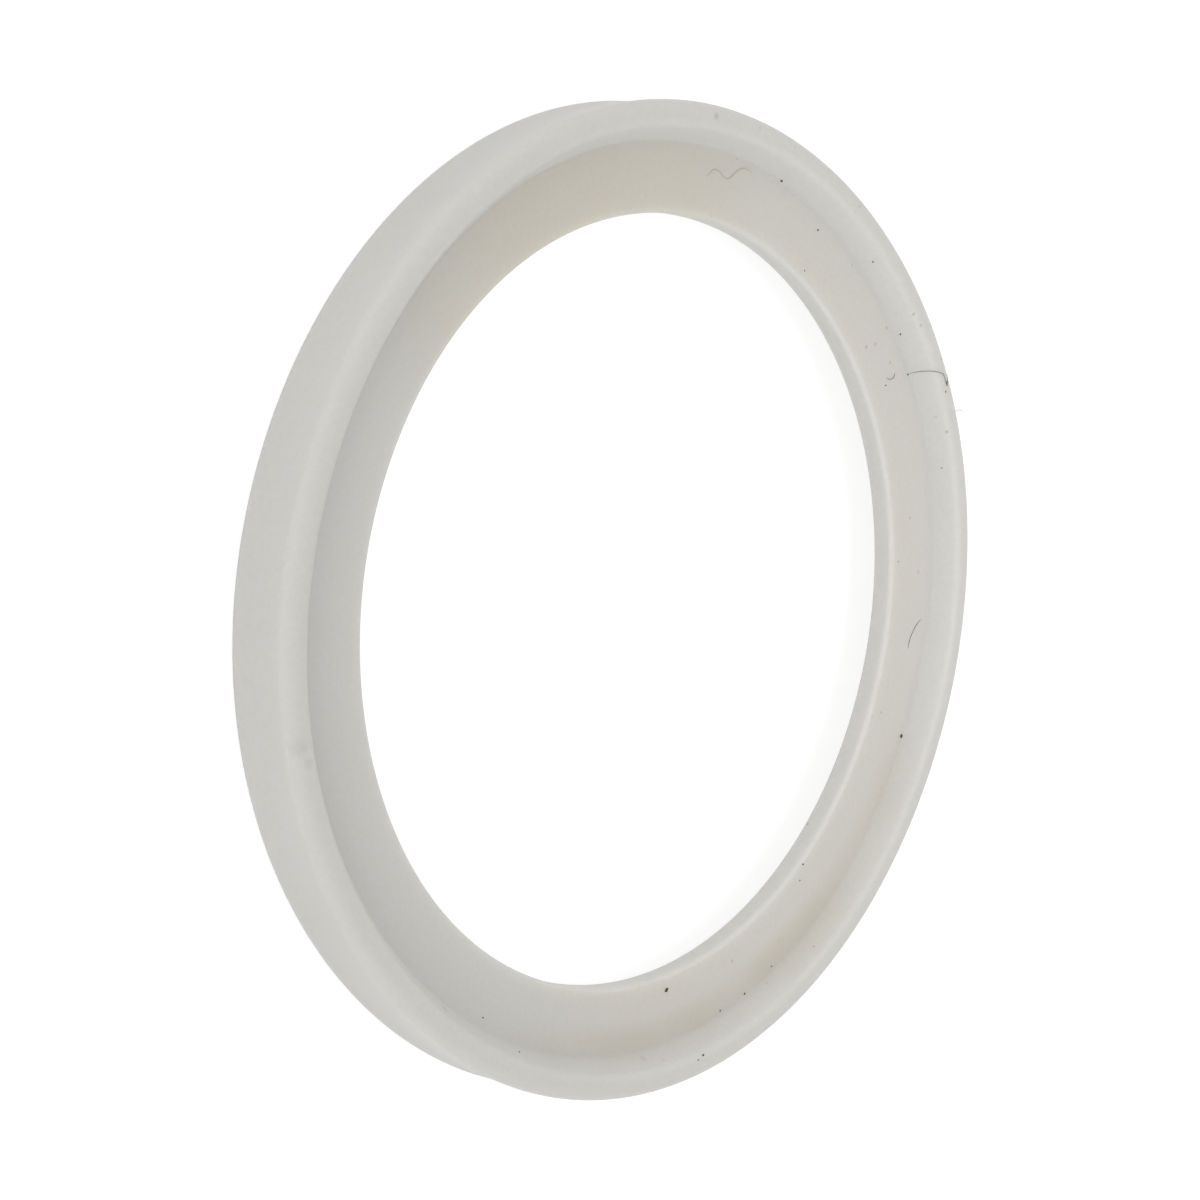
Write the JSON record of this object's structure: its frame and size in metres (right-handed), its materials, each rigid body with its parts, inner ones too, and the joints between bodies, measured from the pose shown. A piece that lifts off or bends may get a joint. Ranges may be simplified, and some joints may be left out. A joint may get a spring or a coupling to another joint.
{
  "type": "sanitary clamp gasket",
  "caption": "Flat round silicone gasket with a thin web and a raised rim on both faces, which seals the end faces of two clamped sanitary tube ferrules.",
  "frame": {"origin": "on the gasket's axis, at the plane that its lower rim rests on", "axes": "+Z along the axis, out of the face with the lower lip of the two; the ring is round, so X and Y are free"},
  "size_m": [0.0776, 0.0776, 0.0066],
  "materials": {
    "silicone": "milky translucent silicone, satin, lightly soiled"
  },
  "bodies": {
    "root": {"gasket": "silicone"}
  },
  "joints": []
}
